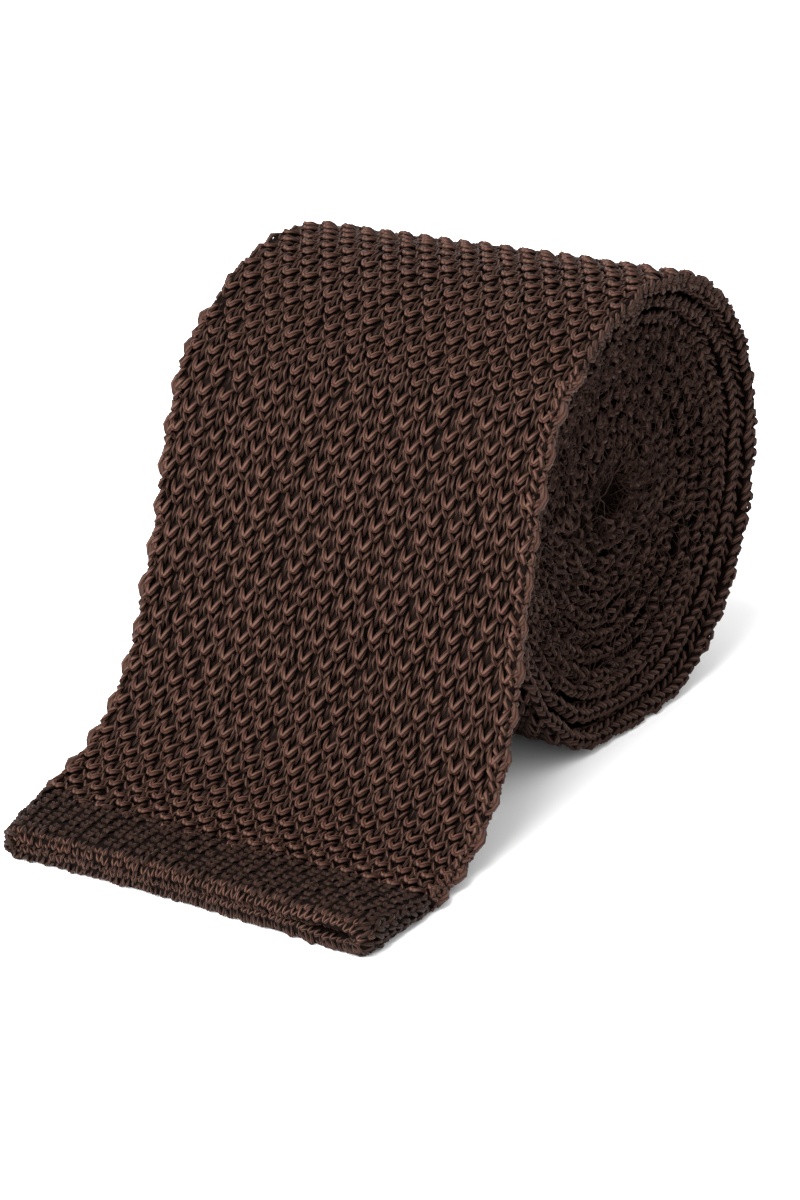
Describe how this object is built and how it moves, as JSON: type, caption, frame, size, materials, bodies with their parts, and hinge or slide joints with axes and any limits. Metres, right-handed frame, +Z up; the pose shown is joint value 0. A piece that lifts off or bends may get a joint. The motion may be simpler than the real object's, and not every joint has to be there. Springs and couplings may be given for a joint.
{
  "type": "rolled knit tie",
  "caption": "Flat knitted tube tie rolled up on its side, its broad square end let down over the front and lying on the floor with a plain-knit band.",
  "frame": {"origin": "centre of the box of the whole rolled tie, at floor height", "axes": "+X along the roll's axis, -Y towards the broad end that lies on the floor, +Z up"},
  "size_m": [0.0696, 0.118, 0.0677],
  "materials": {
    "textured_knit": "twisted silk yarn in a coarse half-drop knit, soft sheen",
    "plain_knit": "twisted silk yarn in fine plain knit, soft sheen"
  },
  "bodies": {
    "root": {"blade_end_band": "plain_knit", "blade_knit": "textured_knit", "neck_knit": "textured_knit", "tail_knit": "textured_knit", "tail_end_band": "plain_knit"}
  },
  "joints": []
}
